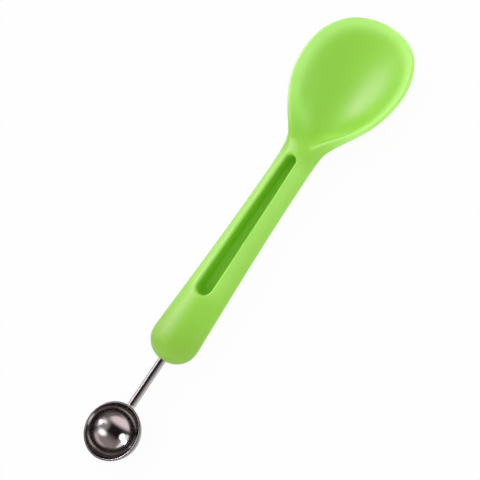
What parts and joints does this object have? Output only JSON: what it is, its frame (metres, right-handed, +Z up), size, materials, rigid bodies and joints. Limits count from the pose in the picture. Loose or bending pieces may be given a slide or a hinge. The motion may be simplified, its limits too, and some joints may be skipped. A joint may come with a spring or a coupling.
{
  "type": "melon baller",
  "caption": "Two-ended melon baller: a polished steel cup on a round shank, moulded into a green handle that broadens to a shallow spoon.",
  "frame": {"origin": "on the surface that the tool lies on, under the middle of its overall length", "axes": "+X from the cup to the spoon's tip, +Z up and out of both hollows"},
  "size_m": [0.22, 0.0524, 0.0164],
  "materials": {
    "steel": "polished stainless steel",
    "green_plastic": "satin moulded polypropylene"
  },
  "bodies": {
    "root": {"scoop_cup": "steel", "shank": "steel", "weld_bead": "steel", "spoon_handle": "green_plastic"}
  },
  "joints": []
}
